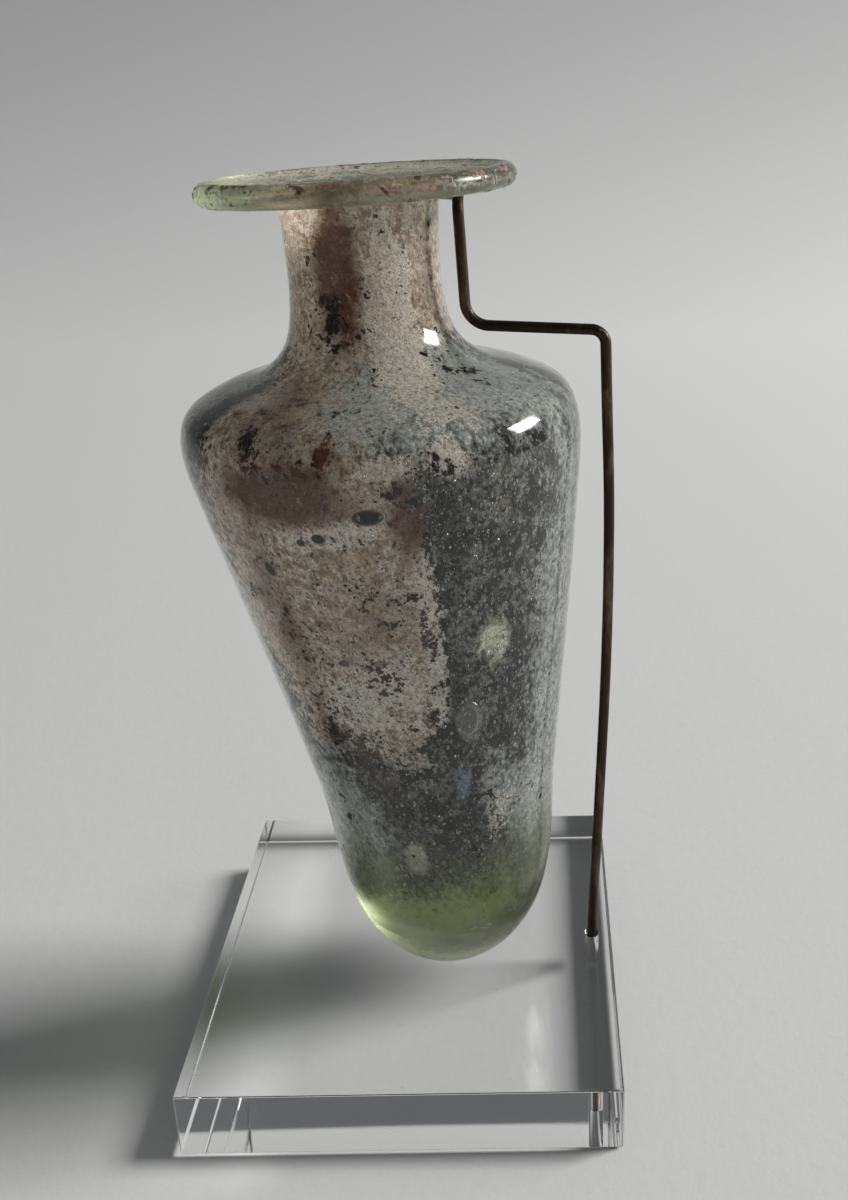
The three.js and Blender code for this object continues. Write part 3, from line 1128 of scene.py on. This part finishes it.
# Bubbles with a lining: angle, height, half width, half height, slant, how deep the painted shade inside
# them is.
LINED_BUBBLES = (
    (-89.0, 77.3, 2.1, 1.15, 0, 1.0),
    (-104.3, 74.6, 0.95, 0.75, -10, 0.95),
    (-110.0, 74.0, 0.6, 0.55, 0, 0.9),
    (-124.5, 69.6, 0.75, 1.15, 25, 0.75),
    (-108.0, 56.5, 0.8, 0.55, 0, 0.7),
    (-67.3, 46.2, 1.55, 2.7, 4, 0.12),
    (-44.2, 15.9, 0.65, 2.3, -8, 0.0),
    (-66.2, 68.6, 0.62, 0.62, 0, 0.3),
    (-55.0, 72.6, 0.6, 0.6, 0, 0.2),
    (-51.5, 73.3, 0.35, 0.4, 0, 0.4),
    (-60.0, 56.0, 0.35, 0.7, 0, 0.6),
    (-44.0, 82.0, 0.75, 1.1, 10, 0.0),
    (-40.5, 88.0, 0.5, 0.5, 0, 0.0),
    (-70.5, 42.5, 0.45, 0.75, 5, 0.1),
    (-67.0, 41.2, 0.4, 0.65, 8, 0.1),
    (-74.0, 40.6, 0.45, 0.7, 12, 0.1),
    (-90.0, 18.6, 0.75, 1.3, 0, 0.35),
    (-98.0, 18.8, 0.8, 1.3, 12, 0.45),
    (-107.2, 32.6, 0.13, 5.6, 7, 0.0),
)
LINING_RINGS = ((0.0, 0.0), (0.55, 0.0), (0.8, 0.12), (0.9, 1.0), (1.0, 0.25))  # radius, paleness
LINING_SIDES = 28
LINING_DEPTH = 0.16
LINING_BULGE = 0.06
# Direction in radians round each lining where its painted highlight is brightest.
PAINTED_HIGHLIGHT_SIDE = -0.5


class OBJECT_OT_build_bubble_linings(bpy.types.Operator):
    """Line the larger bubbles and scatter fine lined seed over the dark side"""

    bl_idname = "unguentarium.build_bubble_linings"
    bl_label = "Build Bubble Linings"

    def execute(self, context):
        flask = context.scene.unguentarium_flask
        settings = context.scene.unguentarium_weathering
        chance = random.Random(settings.seed + 5)
        shape = bmesh.new()
        layers = [shape.verts.layers.float.new(name) for name in ("rim", "core")]
        for angle, height, wide, tall, slant, dark in LINED_BUBBLES:
            self.add_lining(shape, layers, flask, (angle, height), (wide, tall), slant, dark)
        for _ in range(settings.seed_bubbles):
            place = (chance.triangular(-84, 5, -62), chance.triangular(12, 84, 40))
            wide = chance.uniform(0.12, 0.3)
            tall = wide * chance.uniform(1.0, 2.2)
            dark = chance.choice((0.0, 0.2, 0.7))
            self.add_lining(shape, layers, flask, place, (wide, tall), chance.gauss(8, 8), dark)
        finished(shape, "bubble_linings", bubble_lining(settings))
        return {"FINISHED"}

    @staticmethod
    def add_lining(shape, layers, flask, where, size, slant, dark):
        """One shallow lining, palest at its rim, with a painted highlight on the lamp's side and painted
        shade inside.
        """
        angle, height = where
        depth = wall_thickness(height, flask) - LINING_DEPTH
        place = on_wall(angle, height, depth) @ Matrix.Rotation(math.radians(slant), 4, "Z")
        wide, tall = size
        rings = []
        for radius, pale in LINING_RINGS:
            ring = []
            for side in range(LINING_SIDES if radius else 1):
                turn = math.tau * side / LINING_SIDES
                bulge = LINING_BULGE * (1 - radius * radius)
                spot = Vector((wide * radius * math.cos(turn), tall * radius * math.sin(turn), bulge))
                corner = shape.verts.new(place @ spot)
                # Painted highlight: the rim is paler towards the lamp's side.
                lit = 0.55 + 0.45 * math.cos(turn - PAINTED_HIGHLIGHT_SIDE)
                corner[layers[0]] = pale * lit
                corner[layers[1]] = dark * (1.0 if radius < 0.95 else 0.0)
                ring.append(corner)
            rings.append(ring)
        centre = rings[0][0]
        for inner, outer in zip(rings, rings[1:]):
            for side in range(LINING_SIDES):
                after = (side + 1) % LINING_SIDES
                if len(inner) == 1:
                    shape.faces.new((centre, outer[side], outer[after]))
                else:
                    shape.faces.new((inner[side], outer[side], outer[after], inner[after]))


# Trails of lumps: places as (angle, height), how many lumps, and their size.
LUMP_TRAILS = (
    (((-78.8, 64.0), (-78.6, 62.4), (-79.6, 60.6), (-79.2, 59.0), (-76.6, 58.6), (-75.2, 59.4)), 46, 0.34),
    (((-98.5, 57.2), (-96.6, 56.0), (-95.2, 54.4), (-93.8, 53.6)), 26, 0.3),
    (((-95.2, 54.2), (-92.2, 55.0), (-90.8, 53.6), (-93.2, 52.2), (-96.4, 52.2), (-97.4, 51.4)), 40, 0.3),
    (((-93.6, 51.6), (-92.4, 50.0), (-93.4, 48.4), (-91.6, 47.4)), 18, 0.2),
    (((-86.5, 72.6), (-87.2, 70.6), (-85.4, 68.6), (-83.2, 67.4)), 20, 0.16),
    (((-118.5, 86.0), (-121.5, 85.4), (-123.5, 84.2), (-121.5, 82.8), (-118.5, 83.6)), 34, 0.3),
    (((-114.0, 43.4), (-110.5, 42.6), (-107.0, 41.6), (-104.0, 41.0)), 40, 0.34),
    (((-104.0, 36.4), (-101.0, 35.4), (-98.0, 34.8)), 20, 0.3),
)


class OBJECT_OT_build_lumps(bpy.types.Operator):
    """Scatter the small dark lumps that sit on the film"""

    bl_idname = "unguentarium.build_lumps"
    bl_label = "Build Iron Lumps"

    def execute(self, context):
        flask = context.scene.unguentarium_flask
        settings = context.scene.unguentarium_weathering
        chance = random.Random(settings.seed)
        shape = bmesh.new()
        for middle, level, wide, tall, count, size in LUMP_CLUSTERS:
            for _ in range(count):
                angle = chance.gauss(middle, wide / 1.6)
                height = chance.gauss(level, tall / 1.6)
                depth = wall_thickness(height, flask) - settings.film_depth / MM - LUMP_THICKNESS
                self.add_lump(shape, chance, angle, height, depth, size)
        for places, count, size in LUMP_TRAILS:
            for index in range(count):
                spot = spline(places, index / count)
                angle = spot.x + chance.gauss(0, 0.5)
                height = spot.y + chance.gauss(0, 0.22)
                depth = wall_thickness(height, flask) - settings.film_depth / MM - LUMP_THICKNESS
                self.add_lump(shape, chance, angle, height, depth, size)
        finished(shape, "iron_lumps", iron_lumps(settings))
        return {"FINISHED"}

    @staticmethod
    def add_lump(shape, chance, angle, height, depth, size):
        """One flat ragged lump."""
        place = on_wall(angle, height, depth)
        place = place @ Matrix.Rotation(chance.uniform(0, math.pi), 4, "Z")
        wide = size * chance.uniform(0.4, 1.3)
        made = bmesh.ops.create_icosphere(shape, subdivisions=1, radius=1.0)
        sizes = Matrix.Diagonal((wide, wide * chance.uniform(0.35, 0.8), LUMP_THICKNESS, 1.0))
        for corner in made["verts"]:
            corner.co *= chance.uniform(0.65, 1.25)
        bmesh.ops.transform(shape, matrix=place @ sizes, verts=made["verts"])


# ---------------------------------------------------------------- the rod

ROD_FOOT = (27.0, 0.0, 3.6)
STEM_BOW = (
    (3.6, 27.0), (10.5, 27.05), (28.0, 27.85), (60.0, 29.15), (82.0, 29.4), (97.0, 29.05),
    (106.1, 28.85),
)  # height, x
STEM_TOP = Vector((28.85, 0.0, 106.1))
STEM_STEPS = 40
CORNER_RADIUS = 1.9
ELBOW_X = 10.6
ELBOW_Z = 106.3
ELBOW_RADIUS = 3.2
HOOK_RADIUS = 12.3
HOOK_SLACK = (0.63, -0.3)
HOOK_END = 156.0
HOOK_STEPS = 48
HOOK_TURN_RADIUS = 2.0
BEND_STEPS = 14


def bend(before, corner, after, radius):
    """The arc that rounds a corner between the runs towards before and after."""
    back = (before - corner).normalized()
    onward = (after - corner).normalized()
    half = back.angle(onward) / 2
    centre = corner + (back + onward).normalized() * (radius / math.sin(half))
    reach = radius / math.tan(half)
    start = corner + back * reach - centre
    end = corner + onward * reach - centre
    axis = start.cross(end).normalized()
    sweep = start.angle(end)
    return [
        Matrix.Rotation(sweep * step / BEND_STEPS, 3, axis) @ start + centre
        for step in range(BEND_STEPS + 1)
    ]


def hook_point(angle, height):
    """A point of the hook, level with the rim."""
    turn = math.radians(angle)
    x = HOOK_SLACK[0] + HOOK_RADIUS * math.cos(turn)
    y = HOOK_SLACK[1] + HOOK_RADIUS * math.sin(turn)
    return lean((x, y, height))


def rod_route(flask, rod):
    """The middle of the wire from its foot to the end of the hook, in mm."""
    height = RIM_HEIGHT - (flask.rim_thickness / 2 + rod.radius) / MM - GAP
    stem_end = STEM_TOP.z - CORNER_RADIUS
    stem = []
    for step in range(STEM_STEPS):
        level = mix(ROD_FOOT[2], stem_end, step / STEM_STEPS)
        stem.append(Vector((through(STEM_BOW, level), 0.0, level)))
    hook = [hook_point(HOOK_END * step / HOOK_STEPS, height) for step in range(HOOK_STEPS + 1)]
    start = hook[0]
    turn = Vector((start.x, start.y - HOOK_TURN_RADIUS, start.z))
    elbow = Vector((ELBOW_X, turn.y, ELBOW_Z))
    under = Vector((29.05, 0.0, 97.0))
    return (
        stem
        + bend(under, STEM_TOP, elbow, CORNER_RADIUS)
        + bend(STEM_TOP, elbow, turn, ELBOW_RADIUS)
        + bend(elbow, turn, start, HOOK_TURN_RADIUS)
        + hook[1:]
    )


class OBJECT_OT_build_rod(bpy.types.Operator):
    """Bend the bronze rod up from the block and round the back of the neck"""

    bl_idname = "unguentarium.build_rod"
    bl_label = "Build Rod"

    def execute(self, context):
        flask = context.scene.unguentarium_flask
        settings = context.scene.unguentarium_rod
        route = rod_route(flask, settings)
        wire = bpy.data.curves.new("rod_wire", "CURVE")
        wire.dimensions = "3D"
        wire.bevel_depth = settings.radius / MM
        wire.bevel_resolution = 6
        wire.use_fill_caps = True
        line = wire.splines.new("POLY")
        line.points.add(len(route) - 1)
        for point, place in zip(line.points, route):
            point.co = (*place, 1.0)
        carrier = bpy.data.objects.new("rod_wire", wire)
        shape = bmesh.new()
        shape.from_mesh(carrier.to_mesh())
        bpy.data.objects.remove(carrier)
        bmesh.ops.remove_doubles(shape, verts=shape.verts, dist=1e-4)
        bmesh.ops.recalc_face_normals(shape, faces=shape.faces)
        piece = finished(shape, "bronze_rod", bronze(settings))
        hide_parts("rod")
        return {"FINISHED"}


# ---------------------------------------------------------------- the block

HOLE_RADIUS = 1.1
WALL_SHADE_HEIGHT = 3.6  # light that enters a side lower than this never reaches the floor
LANDING = (-22.0, -4.7)  # how far on from the top face the lamp's light reaches the floor, in mm
PAINTED_FOOT_SHADOW = (-12.5, -3.0, 14.0, 10.0)  # a painted shadow of the flask's foot on the floor under the block: middle and half sizes
HOLE_DEPTH = 7.0
HOLE_SIDES = 40


class OBJECT_OT_build_block(bpy.types.Operator):
    """Cut the clear block, polish its edges and drill the rod's hole"""

    bl_idname = "unguentarium.build_block"
    bl_label = "Build Block"

    def execute(self, context):
        settings = context.scene.unguentarium_block
        low, high = (Vector(corner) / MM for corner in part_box("block"))
        shape = bmesh.new()
        middle = Matrix.Translation((low + high) / 2)
        bmesh.ops.create_cube(shape, size=1.0, matrix=middle @ Matrix.Diagonal((*(high - low), 1)))
        bmesh.ops.bevel(
            shape, geom=list(shape.edges), offset=settings.edge / MM, segments=3, profile=0.5,
            affect="EDGES", material=-1,
        )
        top = max(shape.faces, key=lambda face: (round(face.normal.z, 3), face.calc_area()))
        border = list(top.edges)
        bmesh.ops.delete(shape, geom=[top], context="FACES_ONLY")
        place = Matrix.Translation((ROD_FOOT[0], ROD_FOOT[1], high.z))
        made = bmesh.ops.create_circle(
            shape, cap_ends=False, radius=HOLE_RADIUS, segments=HOLE_SIDES, matrix=place,
        )
        mouth = list({edge for corner in made["verts"] for edge in corner.link_edges})
        bmesh.ops.triangle_fill(shape, use_beauty=True, edges=border + mouth)
        drilled = bmesh.ops.extrude_edge_only(shape, edges=mouth)["geom"]
        deep = [item for item in drilled if isinstance(item, bmesh.types.BMVert)]
        bmesh.ops.translate(shape, vec=(0, 0, -HOLE_DEPTH), verts=deep)
        end = [edge for edge in shape.edges if edge.is_boundary]
        bmesh.ops.contextual_create(shape, geom=end)
        bmesh.ops.recalc_face_normals(shape, faces=shape.faces)
        piece = finished(shape, "acrylic_block", acrylic(settings), smooth=False)
        for face in piece.data.polygons:
            face.use_smooth = abs(max(face.normal, key=abs)) < 0.999
        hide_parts("block")
        return {"FINISHED"}


# ---------------------------------------------------------------- the stage

CAMERA_PLACE = Vector((0.0199, -0.1551, 0.1436))
CAMERA_YAW = 0.07
CAMERA_PITCH = -19.16
CAMERA_ROLL = -0.85
LENS = 36.65
SHIFT = (-0.0967, -0.125)
FLOOR_GAP = 0.0001
SWEEP_START = 0.42
SWEEP_RADIUS = 0.35
SWEEP_HEIGHT = 0.5
WINDOW_TURN = 12.0
WINDOW_RISE = 24.0
WINDOW_DISTANCE = 3.2
WINDOW_SIZE = (1.15, 0.85)


def aim(obj, target):
    """Turns a lamp towards a point."""
    obj.rotation_euler = (target - obj.location).to_track_quat("-Z", "Y").to_euler()


def add_lamp(name, turn, rise, distance, size, power, tint_colour):
    """A square soft lamp at an angle round and above the flask."""
    data = bpy.data.lights.new(name, "AREA")
    data.shape = "RECTANGLE"
    data.size, data.size_y = size
    data.energy = power
    data.color = tint_colour
    lamp = bpy.data.objects.new(name, data)
    middle = Vector((0, 0, 0.06))
    a, b = math.radians(turn), math.radians(rise)
    lamp.location = middle + distance * Vector(
        (math.cos(a) * math.cos(b), math.sin(a) * math.cos(b), math.sin(b)))
    aim(lamp, middle)
    bpy.context.scene.collection.objects.link(lamp)
    return lamp


class OBJECT_OT_build_stage(bpy.types.Operator):
    """Lay the paper floor, hang the lamps and set the camera"""

    bl_idname = "unguentarium.build_stage"
    bl_label = "Build Stage"

    def execute(self, context):
        settings = context.scene.unguentarium_stage
        shape = bmesh.new()
        line = [(-1.2, -FLOOR_GAP), (SWEEP_START, -FLOOR_GAP)]
        for step in range(1, 25):
            turn = math.pi / 2 * step / 24
            line.append((SWEEP_START + SWEEP_RADIUS * math.sin(turn),
                         SWEEP_RADIUS * (1 - math.cos(turn)) - FLOOR_GAP))
        line.append((SWEEP_START + SWEEP_RADIUS, SWEEP_HEIGHT))
        corners = [shape.verts.new((-1.3, y, z)) for y, z in line]
        edges = [shape.edges.new(pair) for pair in zip(corners, corners[1:])]
        made = bmesh.ops.extrude_edge_only(shape, edges=edges)["geom"]
        far = [item for item in made if isinstance(item, bmesh.types.BMVert)]
        bmesh.ops.translate(shape, vec=(2.6, 0, 0), verts=far)
        bmesh.ops.recalc_face_normals(shape, faces=shape.faces)
        mesh = bpy.data.meshes.new("paper")
        shape.to_mesh(mesh)
        shape.free()
        mesh.shade_smooth()
        mesh.materials.append(paper(settings))
        floor = bpy.data.objects.new("paper", mesh)
        context.scene.collection.objects.link(floor)

        add_lamp("window", WINDOW_TURN, WINDOW_RISE, WINDOW_DISTANCE,
                 WINDOW_SIZE, settings.window_power, (1.0, 0.985, 0.96))
        world = bpy.data.worlds.new("room")
        world.use_nodes = True
        back = world.node_tree.nodes["Background"]
        back.inputs["Color"].default_value = (0.93, 0.96, 1.0, 1.0)
        back.inputs["Strength"].default_value = settings.sky
        context.scene.world = world

        data = bpy.data.cameras.new("camera")
        data.lens = LENS
        data.shift_x, data.shift_y = SHIFT
        data.clip_start = 0.01
        camera = bpy.data.objects.new("camera", data)
        turn = Matrix.Rotation(math.radians(-CAMERA_YAW), 4, "Z")
        tilt = Matrix.Rotation(math.radians(90 + CAMERA_PITCH), 4, "X")
        roll = Matrix.Rotation(math.radians(CAMERA_ROLL), 4, "Z")
        camera.matrix_world = Matrix.Translation(CAMERA_PLACE) @ turn @ tilt @ roll
        context.scene.collection.objects.link(camera)
        context.scene.camera = camera

        view = context.scene.view_settings
        view.view_transform = "Standard"
        view.exposure = 0.0
        cycles = context.scene.cycles
        cycles.max_bounces = 18
        cycles.diffuse_bounces = 3
        cycles.glossy_bounces = 6
        cycles.transmission_bounces = 18
        cycles.transparent_max_bounces = 24
        cycles.caustics_refractive = False
        cycles.caustics_reflective = False
        return {"FINISHED"}


class VIEW3D_PT_unguentarium(bpy.types.Panel):
    """The flask's operators in the sidebar"""

    bl_label = "Unguentarium"
    bl_space_type = "VIEW_3D"
    bl_region_type = "UI"
    bl_category = "Unguentarium"

    def draw(self, context):
        for operator in OPERATORS:
            self.layout.operator(operator.bl_idname)


OPERATORS = (
    OBJECT_OT_build_stage,
    OBJECT_OT_build_flask,
    OBJECT_OT_build_film,
    OBJECT_OT_build_rim_crust,
    OBJECT_OT_build_lumps,
    OBJECT_OT_build_bubble_linings,
    OBJECT_OT_build_rod,
    OBJECT_OT_build_block,
)
SETTINGS = {
    "unguentarium_flask": FlaskSettings,
    "unguentarium_weathering": WeatheringSettings,
    "unguentarium_rod": RodSettings,
    "unguentarium_block": BlockSettings,
    "unguentarium_stage": StageSettings,
}


def register():
    """Makes the settings, operators and panel known."""
    for name, group in SETTINGS.items():
        bpy.utils.register_class(group)
        setattr(bpy.types.Scene, name, PointerProperty(type=group))
    for operator in OPERATORS:
        bpy.utils.register_class(operator)
    bpy.utils.register_class(VIEW3D_PT_unguentarium)


def unregister():
    """Takes them away again."""
    bpy.utils.unregister_class(VIEW3D_PT_unguentarium)
    for operator in reversed(OPERATORS):
        bpy.utils.unregister_class(operator)
    for name, group in SETTINGS.items():
        delattr(bpy.types.Scene, name)
        bpy.utils.unregister_class(group)


def main():
    """Builds everything."""
    register()
    blotches_group()
    specks_group()
    for operator in OPERATORS:
        group, name = operator.bl_idname.split(".")
        getattr(getattr(bpy.ops, group), name)()


if __name__ == "__main__":
    main()
